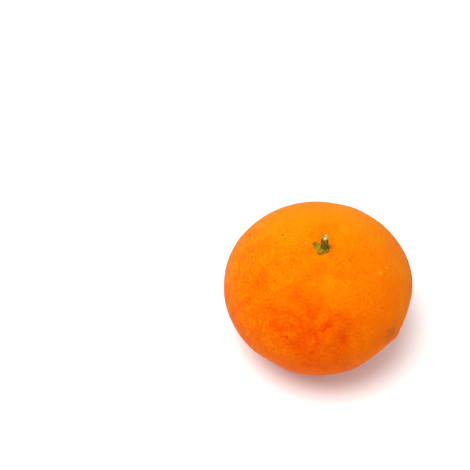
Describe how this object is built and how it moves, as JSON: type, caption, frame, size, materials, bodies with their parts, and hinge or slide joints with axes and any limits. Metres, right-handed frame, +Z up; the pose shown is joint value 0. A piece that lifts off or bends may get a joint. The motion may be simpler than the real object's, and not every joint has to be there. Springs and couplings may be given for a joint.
{
  "type": "mandarin",
  "caption": "Whole ripe mandarin, an oblate orange citrus fruit with a green calyx and a cut stem stub, resting on a small flat spot.",
  "frame": {"origin": "middle of the small flat spot that the fruit rests on, at the blossom end", "axes": "+Z up along the fruit's core, from the blossom end to the stem end; -Y towards the fruit's front; +X to the right seen from the front"},
  "size_m": [0.0617, 0.0618, 0.0491],
  "materials": {
    "peel": "satin",
    "calyx": "matte",
    "stem": "matte"
  },
  "bodies": {
    "root": {"fruit": "peel", "calyx": "calyx", "stem": "stem"}
  },
  "joints": []
}
